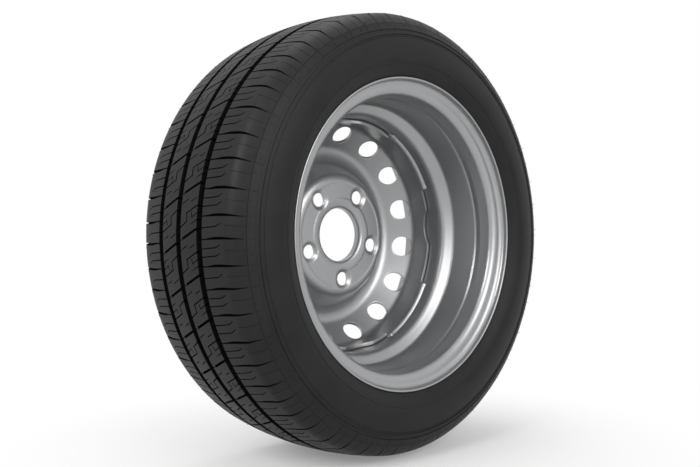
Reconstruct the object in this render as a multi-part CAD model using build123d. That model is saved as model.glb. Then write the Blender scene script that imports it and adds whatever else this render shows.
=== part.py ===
from build123d import *
import os
from math import atan2, cos, radians, sin, tan

# Pressed steel trailer wheel with its tubeless tyre and snap-in valve.
# Origin on the spin axis at the middle of the rim, spin axis along Y, +Z up.
# The hub side faces -Y; the wheel bolts and the valve are reached from +Y.
# Profiles are drawn with X as the radius and Y along the spin axis, then revolved about Y.

# Rim: rolled from one strip, drop centre, J flanges
seat_diameter = 329.4
rim_width = 152.4
flange_height = 17.3
flange_reach = 12.3
flange_curl = 9.5
flange_foot = 6.5
rim_sheet = 2.6
seat_width = 16.7
seat_taper = 5.0
hump_height = 1.6
hump_step = 7.9
hump_fall = 6.1
hump_round = 5.0
ledge_run = 31.75
ledge_drop = 1.6
well_depth = 17.4
well_wall_run = 7.9
well_base_length = 40.45
well_round = 8.0
valve_wall_run = 14.2
valve_wall_rise = 14.15
valve_wall_round = 4.0

# Disc: pressed from one square blank, its corners turned down into the well
disc_sheet = 4.0
hub_offset = 36.0
hub_bore = 67.0
bore_funnel = 14.0
funnel_reach = 9.0
funnel_depth = 1.6
bore_collar = 11.0
collar_round = 5.0
pad_radius = 75.0
pad_round = 15.0
crown_inner_radius = 97.0
crown_outer_radius = 111.5
crown_height = 34.0
crown_round = 14.0
cone_angle = 45.0
skirt_round = 10.0
skirt_edge = 14.0
skirt_phase = 44.2
corner_span = 40.0
corner_count = 4
side_relief = 1.2
scallop_radius = 43.0
scallop_depth = 7.0
vent_count = 16
vent_diameter = 26.5
vent_circle = 259.0
vent_phase = 15.6
bolt_count = 5
bolt_circle = 112.0
bolt_hole = 16.8
bolt_phase = 58.1
bolt_dimple = 27.0
dimple_height = 3.0
bolt_seat_angle = 60.0
bolt_seat_depth = 2.4

# Weld beads between the disc's corners and the well
weld_leg = 4.0
weld_toe = 6.0
weld_crown = 4.2

# Tyre: one moulding, three main grooves and a repeating tread
tyre_diameter = 524.6
tyre_width = 196.0
tread_width = 144.0
crown_radius = 420.0
shoulder_drop = 16.4
shoulder_run = 17.7
shoulder_bulge = 2.1
widest_radius = 205.0
sidewall_bulge = 2.0
bead_bulge = 2.5
air_bulge = 5.0
lip_clearance = 3.0
lip_overhang = 1.4
bead_clearance = 0.2
bead_width = 15.5
bead_inner_radius = 177.0
bead_inner_width = 67.0
tread_thickness = 13.0
sidewall_thickness = 7.0
groove_spacing = 35.0
groove_width = 7.4
groove_draft = 0.8
groove_depth = 7.5
shoulder_slot_width = 2.6
shoulder_slot_depth = 6.0
shoulder_slot_end = 81.0
slot_end_depth = 1.5
slot_phase = 128.5
slot_pitches = "MSSMLMLMSMSMLM" * 4 + "MSMLM"
pitch_weights = {"S": 5.1, "M": 6.0, "L": 6.7}
diagonal_count = 35
diagonal_phase = 129.9
diagonal_lean = 24.3
diagonal_width = 2.2
diagonal_depth = 5.5

# Valve: rubber boot snapped into the rim around a brass stem, core screwed into the stem
valve_hole = 11.3
valve_vent_steps = 7.5
valve_wall_share = 0.6
boot_clearance = 0.3
boot_neck_clearance = 0.15
boot_tail = 10.0
boot_tail_radius = 6.2
boot_flange_radius = 8.4
boot_flange_height = 2.7
boot_shoulder_radius = 7.2
boot_shoulder_height = 2.6
boot_tip_radius = 4.8
boot_length = 24.0
stem_tail = 0.5
stem_core_radius = 3.0
stem_thread_radius = 3.85
stem_length = 34.0
stem_chamfer = 0.5
stem_bore_radius = 1.9
core_thread_radius = 2.65
core_thread_depth = 9.5
core_cone_height = 2.0
core_clearance = 0.1
plug_length = 4.1
plug_recess = 0.4
plug_hole_radius = 0.7
plug_flat_width = 3.0
plug_flat_height = 1.8
barrel_radius = 1.7
barrel_bore_radius = 1.25
barrel_collar_radius = 2.4
barrel_collar_height = 1.9
barrel_length = 10.9
barrel_floor = 1.0
barrel_floor_hole = 0.8
seal_gap = 0.5
seal_height = 2.6
pin_radius = 0.45
pin_collar_radius = 1.05
pin_collar_height = 0.8
pin_collar_drop = 5.9
pin_tail = 0.8
pin_travel_gap = 0.05
cup_radius = 1.55
cup_height = 1.8
spring_wire = 0.24
spring_radius = 0.85
spring_turns = 4
cap_clearance = 0.25
cap_wall = 1.0
cap_skirt = 8.5
cap_roof = 1.6
cap_seal_height = 0.6
cap_grip_count = 10
cap_grip_radius = 0.6

# Worked-out sizes
seat_radius = seat_diameter / 2
half_rim = rim_width / 2
flange_radius = seat_radius + flange_height
flange_edge = half_rim + flange_reach
seat_end = half_rim - seat_width
seat_end_radius = seat_radius - seat_width * tan(radians(seat_taper))
hump_crest = seat_end - hump_step
hump_radius = seat_end_radius + hump_height
hump_foot = hump_crest - hump_fall
ledge_end = -hump_foot + ledge_run
ledge_radius = seat_end_radius - ledge_drop
well_radius = seat_radius - well_depth
well_start = ledge_end + well_wall_run
well_end = well_start + well_base_length
valve_wall_end = well_end + valve_wall_run
valve_wall_radius = well_radius + valve_wall_rise
skirt_outer = well_radius - rim_sheet
skirt_inner = skirt_outer - disc_sheet
crown_top = hub_offset + crown_height
skirt_bend = crown_top - (skirt_inner - crown_outer_radius) * tan(radians(cone_angle))
tread_radius = tyre_diameter / 2
half_tyre = tyre_width / 2
half_tread = tread_width / 2
full_turn = 360.0


def around(angle):
    """Turn about the spin axis, from +X towards +Z."""
    return Rot(0, -angle, 0)


def crown_at(offset_from_centre, radius=tread_radius):
    """Radius of the tyre's crown at a distance from its middle."""
    return radius - crown_radius + (crown_radius**2 - offset_from_centre**2) ** 0.5


def turned(points):
    """Solid turned about the local Z axis from (radius, height) points."""
    return revolve(Plane.XZ * make_face(Polyline(*points, close=True)), Axis.Z)


def swept_arc(points, span, middle):
    """Ring segment about the spin axis from (radius, y) points, centred on an angle."""
    face = make_face(Polyline(*points, close=True))
    return around(middle + span / 2) * revolve(face, Axis.Y, revolution_arc=span)


# Rim: one strip profile from the inboard lip to the outboard lip, tyre side, then its sheet thickness inwards
rim_line = FilletPolyline(
    (flange_radius, -flange_edge),
    (flange_radius, -half_rim),
    (seat_radius, -half_rim),
    (seat_end_radius, -seat_end),
    (hump_radius, -hump_crest),
    (seat_end_radius, -hump_foot),
    (ledge_radius, ledge_end),
    (well_radius, well_start),
    (well_radius, well_end),
    (valve_wall_radius, valve_wall_end),
    (hump_radius, hump_crest),
    (seat_end_radius, seat_end),
    (seat_radius, half_rim),
    (flange_radius, half_rim),
    (flange_radius, flange_edge),
    radius=[
        flange_curl,
        flange_foot,
        hump_round,
        hump_round,
        hump_round,
        well_round,
        well_round,
        well_round,
        valve_wall_round,
        valve_wall_round,
        hump_round,
        flange_foot,
        flange_curl,
    ],
)
rim = revolve(make_face(offset(rim_line, amount=rim_sheet, side=Side.LEFT)), Axis.Y)

# Valve seat: on the outboard well wall, past its middle, square to the wall, between two vents
valve_lean = atan2(valve_wall_radius - well_radius, valve_wall_end - well_end)
valve_axis = (-cos(valve_lean), sin(valve_lean), 0)
valve_root_radius = well_radius + (valve_wall_radius - well_radius) * valve_wall_share
valve_root = (valve_root_radius, well_end + valve_wall_run * valve_wall_share, 0)
vent_step = full_turn / vent_count
valve_angle = vent_phase + vent_step * valve_vent_steps
valve_seat = around(valve_angle) * Plane(valve_root, x_dir=(0, 0, 1), z_dir=valve_axis).location
rim -= valve_seat * Cylinder(valve_hole / 2, rim_sheet * 6)

# Disc: pressed sheet from the hub bore over the crown to the skirt, hub side, then its thickness outboard
disc_line = FilletPolyline(
    (hub_bore / 2, hub_offset + bore_collar),
    (hub_bore / 2, hub_offset + funnel_depth),
    (hub_bore / 2 + funnel_reach, hub_offset),
    (pad_radius, hub_offset),
    (crown_inner_radius, crown_top),
    (crown_outer_radius, crown_top),
    (skirt_inner, skirt_bend),
    (skirt_inner, skirt_edge),
    radius=[collar_round, bore_funnel, pad_round, crown_round, crown_round, skirt_round],
)
disc = revolve(make_face(offset(disc_line, amount=disc_sheet, side=Side.LEFT)), Axis.Y)

# Bolt seats: each hole stands in a dimple pressed outboard, with a conical seat for the bolt head
dimple_top = hub_offset + disc_sheet + dimple_height
dimple_draft = dimple_height
bolt_seat_radius = bolt_hole / 2 + bolt_seat_depth * tan(radians(bolt_seat_angle / 2))
boss_points = [
    (0, hub_offset + disc_sheet / 2),
    (bolt_dimple / 2 + disc_sheet, hub_offset + disc_sheet / 2),
    (bolt_dimple / 2 + disc_sheet - dimple_draft, dimple_top),
    (0, dimple_top),
]
hollow_points = [
    (0, hub_offset),
    (bolt_dimple / 2, hub_offset),
    (bolt_dimple / 2 - dimple_draft, hub_offset + dimple_height),
    (bolt_hole / 2, hub_offset + dimple_height),
    (bolt_hole / 2, dimple_top - bolt_seat_depth),
    (bolt_seat_radius, dimple_top),
    (0, dimple_top),
]
axial = Rot(-90, 0, 0)
for bolt in range(bolt_count):
    bolt_place = around(bolt_phase + full_turn / bolt_count * bolt) * Pos(bolt_circle / 2, 0, 0) * axial
    disc += bolt_place * turned(boss_points)
    disc -= bolt_place * turned(hollow_points)

# Vents: round holes punched square through the cone
vent_height = crown_top - (vent_circle / 2 - crown_outer_radius) * tan(radians(cone_angle))
vent_direction = (sin(radians(cone_angle)), cos(radians(cone_angle)), 0)
vent_place = Plane((vent_circle / 2, vent_height, 0), z_dir=vent_direction).location
vent_punch = vent_place * Cylinder(vent_diameter / 2, disc_sheet * 4)
disc -= [around(vent_phase + vent_step * vent) * vent_punch for vent in range(vent_count)]

# Skirt sides: between the corners the skirt stands clear of the well, with a scallop between two vents
corner_step = full_turn / corner_count
side_span = corner_step - corner_span
side_gap = [
    (skirt_outer - side_relief, skirt_edge - disc_sheet),
    (skirt_outer + side_relief, skirt_edge - disc_sheet),
    (skirt_outer + side_relief, skirt_bend),
    (skirt_outer - side_relief, skirt_bend - side_relief),
]
scallop_centre = skirt_edge + scallop_depth - scallop_radius
scallop_bore = Pos(skirt_inner, scallop_centre, 0) * Rot(0, 90, 0) * Cylinder(scallop_radius, disc_sheet * 6)
for corner in range(corner_count):
    side_middle = skirt_phase + corner_step * (corner + 0.5)
    first_vent = (side_middle - vent_phase) // vent_step
    between_vents = vent_phase + vent_step * (first_vent + 0.5)
    disc -= swept_arc(side_gap, side_span, side_middle)
    disc -= around(between_vents) * scallop_bore

# Welds: one bead along each corner's edge, in the angle between the skirt and the well
weld_section = [
    (skirt_outer, skirt_edge),
    (skirt_outer - weld_leg, skirt_edge),
    (skirt_outer - weld_leg / 2, skirt_edge - weld_crown),
    (skirt_outer, skirt_edge - weld_toe),
]
weld_beads = []
for corner in range(corner_count):
    weld_beads.append(swept_arc(weld_section, corner_span, skirt_phase + corner_step * corner))
disc_welds = Compound(weld_beads)

# Tyre section: outer contour, air space and main grooves
tread_edge_radius = crown_at(half_tread)
shoulder_radius = tread_edge_radius - shoulder_drop
shoulder_width = half_tread + shoulder_run
lip_radius = flange_radius + bead_clearance
lip_width = flange_edge + lip_overhang
bead_face = half_rim - bead_clearance
bead_seat_radius = seat_radius + bead_clearance
bead_toe = bead_face - bead_width
bead_toe_radius = bead_seat_radius - bead_width * tan(radians(seat_taper))
curl_start_radius = flange_radius - flange_curl
curl_edge = half_rim + flange_curl


def contour(corners, bulges, side):
    """Edges through corners given for the +Y side, each standing out from its chord by a bulge."""
    edges = []
    for start, end, bulge in zip(corners, corners[1:], bulges):
        placed_start = (start[0], start[1] * side)
        placed_end = (end[0], end[1] * side)
        if bulge:
            edges.append(SagittaArc(placed_start, placed_end, -bulge * side))
        else:
            edges.append(Line(placed_start, placed_end))
    return edges


quarter_bulge = 1 - cos(radians(45))
side_corners = [
    (tread_edge_radius, half_tread),
    (shoulder_radius, shoulder_width),
    (widest_radius, half_tyre),
    (flange_radius + lip_clearance, lip_width),
    (lip_radius, curl_edge),
    (curl_start_radius, bead_face),
    (bead_seat_radius + flange_foot, bead_face),
    (bead_seat_radius - flange_foot * tan(radians(seat_taper)), bead_face - flange_foot),
    (bead_toe_radius, bead_toe),
]
side_bulges = [
    shoulder_bulge,
    sidewall_bulge,
    bead_bulge,
    0,
    -(flange_curl + bead_clearance) * quarter_bulge,
    0,
    flange_foot * quarter_bulge,
    0,
]
crown_arc = ThreePointArc(
    (tread_edge_radius, -half_tread),
    (tread_radius, 0),
    (tread_edge_radius, half_tread),
)
bead_line = Line((bead_toe_radius, -bead_toe), (bead_toe_radius, bead_toe))
side_edges = contour(side_corners, side_bulges, 1) + contour(side_corners, side_bulges, -1)
air_crown = tread_radius - tread_thickness
air_edge_radius = crown_at(half_tread, air_crown)
air_arc = ThreePointArc((air_edge_radius, -half_tread), (air_crown, 0), (air_edge_radius, half_tread))
air_corners = [
    (air_edge_radius, half_tread),
    (widest_radius, half_tyre - sidewall_thickness),
    (bead_inner_radius, bead_inner_width),
    (bead_toe_radius, bead_toe),
]
air_bulges = [air_bulge, bead_bulge, 0]
air_sides = contour(air_corners, air_bulges, 1) + contour(air_corners, air_bulges, -1)
tyre_face = make_face([crown_arc, bead_line, *side_edges]) - make_face([air_arc, bead_line, *air_sides])
for groove in (-1, 0, 1):
    middle = groove_spacing * groove
    top = tread_radius + groove_depth
    floor = crown_at(middle) - groove_depth
    half_top = groove_width / 2 + groove_draft
    half_floor = groove_width / 2 - groove_draft
    tyre_face -= make_face(
        Polyline(
            (top, middle - half_top - groove_draft),
            (top, middle + half_top + groove_draft),
            (floor, middle + half_floor),
            (floor, middle - half_floor),
            close=True,
        )
    )
tyre = revolve(tyre_face, Axis.Y)

# Tread slots: shoulder slots in three pitch lengths, and diagonals that cross both middle ribs
slot_floor = crown_at(groove_spacing) - shoulder_slot_depth
slot_end_floor = crown_at(shoulder_slot_end) - slot_end_depth
slot_face = make_face(
    Polyline(
        (slot_floor, groove_spacing),
        (tread_radius + groove_depth, groove_spacing),
        (tread_radius + groove_depth, shoulder_slot_end),
        (slot_end_floor, shoulder_slot_end),
        close=True,
    )
)
slot_tool = extrude(slot_face, amount=shoulder_slot_width / 2, both=True)
mirror_tool = mirror(slot_tool, about=Plane.XZ)
pitch_scale = full_turn / sum(pitch_weights[letter] for letter in slot_pitches)
tread_tools = []
slot_angle = slot_phase
for letter in slot_pitches:
    tread_tools.append(around(slot_angle) * slot_tool)
    tread_tools.append(around(slot_angle) * mirror_tool)
    slot_angle += pitch_weights[letter] * pitch_scale
diagonal_length = 2 * groove_spacing / cos(radians(diagonal_lean))
diagonal_box = Box(2 * diagonal_depth, diagonal_length, diagonal_width)
diagonal_tool = Pos(tread_radius, 0, 0) * Rot(diagonal_lean, 0, 0) * diagonal_box
for diagonal in range(diagonal_count):
    tread_tools.append(around(diagonal_phase + full_turn / diagonal_count * diagonal) * diagonal_tool)
tyre -= tread_tools

# Valve boot: tail and flange inside the tyre, neck in the hole, tapered sleeve outside
boot_start = -boot_clearance
boot_outside = rim_sheet + boot_clearance
boot_neck_radius = valve_hole / 2 - boot_neck_clearance
boot_taper_end = boot_length - boot_shoulder_height / 2
valve_boot = turned(
    [
        (stem_core_radius, -boot_tail),
        (boot_tail_radius, -boot_tail),
        (boot_flange_radius, boot_start - boot_flange_height),
        (boot_flange_radius, boot_start),
        (boot_neck_radius, boot_start),
        (boot_neck_radius, boot_outside),
        (boot_shoulder_radius, boot_outside),
        (boot_shoulder_radius, boot_outside + boot_shoulder_height),
        (boot_tip_radius, boot_taper_end),
        (boot_tip_radius, boot_length),
        (stem_core_radius, boot_length),
    ]
)

# Valve stem: brass tube held in the boot, threaded outside for the cap and inside for the core
thread_end = stem_length - core_thread_depth
cone_end = thread_end - core_cone_height
valve_stem = turned(
    [
        (stem_bore_radius, -boot_tail - stem_tail),
        (stem_core_radius, -boot_tail - stem_tail),
        (stem_core_radius, boot_length),
        (stem_thread_radius, boot_length),
        (stem_thread_radius, stem_length - stem_chamfer),
        (stem_thread_radius - stem_chamfer, stem_length),
        (core_thread_radius, stem_length),
        (core_thread_radius, thread_end),
        (stem_bore_radius, cone_end),
    ]
)

# Valve core: plug screwed into the stem, barrel and its seal below, pin and cup held shut by the spring
plug_top = stem_length - plug_recess
plug_bottom = plug_top - plug_length
plug_radius = core_thread_radius - core_clearance
core_plug = turned(
    [
        (plug_hole_radius, plug_bottom),
        (plug_radius, plug_bottom),
        (plug_radius, plug_top),
        (plug_hole_radius, plug_top),
    ]
)
flat_cut = Box(2 * plug_radius, plug_radius, plug_flat_height)
for side in (1, -1):
    flat_middle = side * (plug_flat_width + plug_radius) / 2
    core_plug -= Pos(0, flat_middle, plug_top - plug_flat_height / 2) * flat_cut
barrel_top = plug_bottom
barrel_bottom = barrel_top - barrel_length
core_barrel = turned(
    [
        (barrel_floor_hole, barrel_bottom),
        (barrel_radius, barrel_bottom),
        (barrel_radius, barrel_top - barrel_collar_height),
        (barrel_collar_radius, barrel_top - barrel_collar_height),
        (barrel_collar_radius, barrel_top),
        (barrel_bore_radius, barrel_top),
        (barrel_bore_radius, barrel_bottom + barrel_floor),
        (barrel_floor_hole, barrel_bottom + barrel_floor),
    ]
)
seal_bottom = cone_end + seal_gap
cone_slope = (core_thread_radius - stem_bore_radius) / core_cone_height
seal_foot_radius = stem_bore_radius + seal_gap * cone_slope - core_clearance / 2
seal_lip_radius = core_thread_radius - core_clearance / 2
seal_lip = seal_bottom + (seal_lip_radius - seal_foot_radius) / cone_slope
core_seal = turned(
    [
        (barrel_radius, seal_bottom),
        (seal_foot_radius, seal_bottom),
        (seal_lip_radius, seal_lip),
        (seal_lip_radius, seal_bottom + seal_height),
        (barrel_radius, seal_bottom + seal_height),
    ]
)
cup_top = barrel_bottom - pin_travel_gap
cup_bottom = cup_top - cup_height
core_cup = turned(
    [
        (pin_radius, cup_bottom),
        (cup_radius, cup_bottom),
        (cup_radius, cup_top),
        (pin_radius, cup_top),
    ]
)
collar_top = plug_top - pin_collar_drop
collar_bottom = collar_top - pin_collar_height
core_pin = turned(
    [
        (0, cup_bottom - pin_tail),
        (pin_radius, cup_bottom - pin_tail),
        (pin_radius, collar_bottom),
        (pin_collar_radius, collar_bottom),
        (pin_collar_radius, collar_top),
        (pin_radius, collar_top),
        (pin_radius, plug_top),
        (0, plug_top),
    ]
)
spring_start = barrel_bottom + barrel_floor + spring_wire
spring_end = collar_bottom - spring_wire
spring_height = spring_end - spring_start
spring_path = Pos(0, 0, spring_start) * Helix(spring_height / spring_turns, spring_height, spring_radius)
spring_section = Plane(spring_path @ 0, z_dir=spring_path % 0) * Rectangle(spring_wire, spring_wire)
core_spring = sweep(spring_section, path=spring_path, is_frenet=True)

# Valve cap: moulded cap with finger grips, and the rubber disc in its roof
cap_bottom = stem_length - cap_skirt
cap_bore_radius = stem_thread_radius + cap_clearance
cap_radius = cap_bore_radius + cap_wall
cap_ceiling = stem_length + core_clearance + cap_seal_height
cap_top = cap_ceiling + cap_roof
valve_cap = turned(
    [
        (cap_bore_radius, cap_bottom),
        (cap_radius, cap_bottom),
        (cap_radius, cap_top - cap_wall),
        (cap_radius - cap_wall, cap_top),
        (0, cap_top),
        (0, cap_ceiling),
        (cap_bore_radius, cap_ceiling),
    ]
)
grip_flute = Pos(cap_radius, 0, (cap_bottom + cap_top) / 2) * Cylinder(cap_grip_radius, cap_top - cap_bottom)
grip_step = full_turn / cap_grip_count
valve_cap -= [Rot(0, 0, grip_step * grip) * grip_flute for grip in range(cap_grip_count)]
cap_seal = Pos(0, 0, cap_ceiling - cap_seal_height / 2) * Cylinder(stem_thread_radius, cap_seal_height)

# One file for each piece
wheel_pieces = {
    "rim": rim,
    "disc": disc,
    "disc_welds": disc_welds,
    "tyre": tyre,
}
valve_pieces = {
    "valve_boot": valve_boot,
    "valve_stem": valve_stem,
    "core_plug": core_plug,
    "core_barrel": core_barrel,
    "core_seal": core_seal,
    "core_pin": core_pin,
    "core_cup": core_cup,
    "core_spring": core_spring,
    "valve_cap": valve_cap,
    "cap_seal": cap_seal,
}
os.makedirs("parts", exist_ok=True)
for name, piece in wheel_pieces.items():
    export_step(piece, f"parts/{name}.step")
for name, piece in valve_pieces.items():
    export_step(valve_seat * piece, f"parts/{name}.step")
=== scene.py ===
from math import ceil, cos, hypot, pi, radians, sin, tan, tau

import bmesh
import bpy
from mathutils import Matrix, Vector
from mathutils.geometry import delaunay_2d_cdt


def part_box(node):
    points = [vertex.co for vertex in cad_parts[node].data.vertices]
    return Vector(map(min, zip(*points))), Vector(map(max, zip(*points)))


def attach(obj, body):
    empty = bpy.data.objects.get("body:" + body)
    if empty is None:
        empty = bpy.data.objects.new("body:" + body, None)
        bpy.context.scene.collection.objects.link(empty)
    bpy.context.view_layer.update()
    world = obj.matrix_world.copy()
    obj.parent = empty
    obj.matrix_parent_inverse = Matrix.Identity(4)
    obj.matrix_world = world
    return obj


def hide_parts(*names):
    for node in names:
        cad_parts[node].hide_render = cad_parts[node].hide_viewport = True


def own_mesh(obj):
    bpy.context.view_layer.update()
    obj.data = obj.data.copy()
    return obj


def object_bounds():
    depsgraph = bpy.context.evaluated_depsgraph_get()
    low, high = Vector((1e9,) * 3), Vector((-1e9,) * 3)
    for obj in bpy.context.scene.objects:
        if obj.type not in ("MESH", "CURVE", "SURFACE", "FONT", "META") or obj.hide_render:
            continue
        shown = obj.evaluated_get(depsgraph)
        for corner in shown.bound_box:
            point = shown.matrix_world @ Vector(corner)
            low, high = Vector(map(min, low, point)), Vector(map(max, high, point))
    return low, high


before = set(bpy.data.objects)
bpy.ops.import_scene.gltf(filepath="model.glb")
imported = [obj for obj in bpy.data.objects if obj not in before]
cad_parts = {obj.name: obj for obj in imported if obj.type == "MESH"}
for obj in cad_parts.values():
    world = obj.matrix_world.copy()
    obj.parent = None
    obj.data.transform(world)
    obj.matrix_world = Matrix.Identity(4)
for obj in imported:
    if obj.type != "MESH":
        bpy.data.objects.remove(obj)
cad_low, cad_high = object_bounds()
merge_distance = 0.00001


# Rim: one strip of steel, rolled to a ring, butt welded and then profiled in rollers.
# Flanges, bead seats, humps and the drop centre are one sheet of even thickness.
# It is painted silver together with the disc, after they are welded.
_, rim_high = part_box("rim")
flange_radius = rim_high.x
flange_edge = rim_high.y
flange_reach = 0.0123
half_rim = flange_edge - flange_reach
flange_height = 0.0173
flange_curl = 0.0095
flange_foot = 0.0065
rim_sheet = 0.0026
seat_radius = flange_radius - flange_height
seat_width = 0.0167
seat_taper = radians(5.0)
seat_end = half_rim - seat_width
seat_end_radius = seat_radius - seat_width * tan(seat_taper)
hump_step = 0.0079
hump_height = 0.0016
hump_fall = 0.0033
hump_crest = seat_end - hump_step
hump_radius = seat_end_radius + hump_height
hump_foot = hump_crest - hump_fall
hump_round = 0.003
ledge_end = -0.01375
ledge_drop = 0.0016
ledge_radius = seat_end_radius - ledge_drop
well_depth = 0.0174
well_radius = seat_radius - well_depth
well_wall_run = 0.0079
well_start = ledge_end + well_wall_run
well_length = 0.04045
well_end = well_start + well_length
well_round = 0.008
valve_wall_run = 0.0142
valve_wall_rise = 0.01415
valve_wall_end = well_end + valve_wall_run
valve_wall_radius = well_radius + valve_wall_rise
valve_wall_round = 0.004
rim_steps = 256
rim_run_step = 0.006
lip_round = 0.0009
relief_depth = 0.0004


def stretch(start, end, step):
    """Points strictly between two points, no further apart than a step."""
    count = ceil((end - start).length / step)
    return [start.lerp(end, index / count) for index in range(1, count)]


def rounded_line(corners, radii, run_step, turn_step=radians(11)):
    """Points along straight runs through corners, with an arc of its own radius at each inner corner."""
    points = [Vector(corners[0])]
    for before, corner, after, radius in zip(corners, corners[1:], corners[2:], radii):
        corner = Vector(corner)
        back = (Vector(before) - corner).normalized()
        ahead = (Vector(after) - corner).normalized()
        turn = pi - back.angle(ahead)
        reach = radius * tan(turn / 2)
        middle = corner + (back + ahead).normalized() * radius / cos(turn / 2)
        first = corner + back * reach - middle
        last = corner + ahead * reach - middle
        points += stretch(points[-1], middle + first, run_step)
        steps = max(2, ceil(turn / turn_step))
        for index in range(steps + 1):
            spoke = first.lerp(last, index / steps).normalized()
            points.append(middle + spoke * radius)
    end = Vector(corners[-1])
    return points + stretch(points[-1], end, run_step) + [end]


def spun(line, steps):
    """Mesh made by turning (radius, y) points about the spin axis."""
    shape = bmesh.new()
    rings = []
    for step in range(steps):
        turn = tau * step / steps
        rings.append([shape.verts.new((radius * cos(turn), y, radius * sin(turn))) for radius, y in line])
    for ring, following in zip(rings, rings[1:] + rings[:1]):
        for index in range(len(line) - 1):
            shape.faces.new((ring[index], ring[index + 1], following[index + 1], following[index]))
    return shape


def smoothed(mesh, sharp):
    """Makes a mesh smooth except at edges sharper than an angle in degrees."""
    mesh.polygons.foreach_set("use_smooth", [True] * len(mesh.polygons))
    mesh.set_sharp_from_angle(angle=radians(sharp))
    return mesh


def as_mesh(name, shape, sharp=40):
    """Plain mesh from an edited one, smooth except at sharp edges."""
    mesh = bpy.data.meshes.new(name)
    shape.to_mesh(mesh)
    shape.free()
    return smoothed(mesh, sharp)


def baked(piece):
    """Mesh of a piece with its modifiers applied."""
    ready = piece.evaluated_get(bpy.context.evaluated_depsgraph_get())
    return bpy.data.meshes.new_from_object(ready)


def placed(name, mesh):
    """Object at the origin that shows a mesh."""
    piece = bpy.data.objects.new(name, mesh)
    bpy.context.scene.collection.objects.link(piece)
    return piece


def sheet_metal(name, shape, thickness, edge_round):
    """Object made from one face of a sheet: thickness added behind it, cut edges rounded over."""
    piece = placed(name, as_mesh(name, shape))
    wall = piece.modifiers.new("thickness", "SOLIDIFY")
    wall.thickness = thickness
    wall.offset = -1
    edges = piece.modifiers.new("edges", "BEVEL")
    edges.width = edge_round
    edges.segments = 2
    edges.limit_method = "ANGLE"
    edges.angle_limit = radians(60)
    mesh = baked(piece)
    piece.modifiers.clear()
    piece.data = smoothed(mesh, 50)
    return piece


def give(tree, taker, inputs):
    """Sets a node's inputs, each to a constant or to a link from a socket."""
    for key, value in inputs.items():
        if isinstance(value, bpy.types.NodeSocket):
            tree.links.new(value, taker.inputs[key])
        else:
            taker.inputs[key].default_value = value


def node(tree, kind, inputs=None, **settings):
    """New node in a tree, with its settings and inputs."""
    made = tree.nodes.new(kind)
    for key, value in settings.items():
        setattr(made, key, value)
    give(tree, made, inputs or {})
    return made


def maths(tree, operation, *values):
    """Output of a math node on constants and sockets."""
    return node(tree, "ShaderNodeMath", dict(enumerate(values)), operation=operation).outputs[0]


def noise(tree, place, **inputs):
    """Output of a noise texture."""
    return node(tree, "ShaderNodeTexNoise", {"Vector": place, **inputs}).outputs["Fac"]


def ranged(tree, value, low, high):
    """Output of a 0 to 1 value brought to a range."""
    return node(tree, "ShaderNodeMapRange", {"Value": value, "To Min": low, "To Max": high}).outputs["Result"]


def shades(tree, factor, low, high, start=0.0, end=1.0):
    """Output of a colour from low to high as a factor goes from start to end."""
    ramp = node(tree, "ShaderNodeValToRGB", {"Fac": factor})
    for stop, position, colour in zip(ramp.color_ramp.elements, (start, end), (low, high)):
        stop.position = position
        stop.color = (*colour, 1)
    return ramp.outputs["Color"]


def toned(base, share):
    """Colour times a share."""
    return [share * part for part in base]


def bumped(tree, height, strength):
    """Output of a normal with a fine relief."""
    inputs = {"Height": height, "Strength": strength, "Distance": relief_depth}
    return node(tree, "ShaderNodeBump", inputs).outputs["Normal"]


def new_finish(name):
    """Material with its node tree, its surface shader and the place on the object."""
    finish = bpy.data.materials.new(name)
    finish.use_nodes = True
    tree = finish.node_tree
    place = node(tree, "ShaderNodeTexCoord").outputs["Object"]
    return finish, tree, tree.nodes["Principled BSDF"], place


def silver_paint(name, base, peel):
    """Satin silver paint: fine flake, a slow change of tone and the peel of a sprayed coat."""
    finish, tree, surface, place = new_finish(name)
    flake = noise(tree, place, Scale=2600.0, Detail=2.0)
    cloud = noise(tree, place, Scale=9.0, Detail=3.0)
    orange = noise(tree, place, Scale=420.0, Detail=1.0)
    tone = maths(tree, "ADD", cloud, flake)
    looks = {
        "Base Color": shades(tree, tone, toned(base, 0.90), toned(base, 1.08), start=0.6),
        "Roughness": ranged(tree, cloud, 0.30, 0.40),
        "Normal": bumped(tree, orange, peel),
        "Metallic": 0.85,
        "Coat Weight": 0.15,
        "Coat Roughness": 0.25,
    }
    give(tree, surface, looks)
    return finish


def finish_piece(piece, finish, nodes, body="wheel"):
    """Gives a piece its material and ties it to the frame."""
    piece.data.materials.clear()
    piece.data.materials.append(finish)
    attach(piece, body)
    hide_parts(*nodes)


rim_line = rounded_line(
    [
        (flange_radius, -flange_edge),
        (flange_radius, -half_rim),
        (seat_radius, -half_rim),
        (seat_end_radius, -seat_end),
        (hump_radius, -hump_crest),
        (seat_end_radius, -hump_foot),
        (ledge_radius, ledge_end),
        (well_radius, well_start),
        (well_radius, well_end),
        (valve_wall_radius, valve_wall_end),
        (hump_radius, hump_crest),
        (seat_end_radius, seat_end),
        (seat_radius, half_rim),
        (flange_radius, half_rim),
        (flange_radius, flange_edge),
    ],
    [flange_curl, flange_foot]
    + [hump_round] * 3
    + [well_round] * 3
    + [valve_wall_round] * 2
    + [hump_round, flange_foot, flange_curl],
    run_step=rim_run_step,
)
wheel_paint = silver_paint("silver wheel paint", (0.315, 0.318, 0.323), 0.10)
rim = sheet_metal("rolled_rim", spun(rim_line, rim_steps), rim_sheet, lip_round)
finish_piece(rim, wheel_paint, ["rim"])


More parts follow.
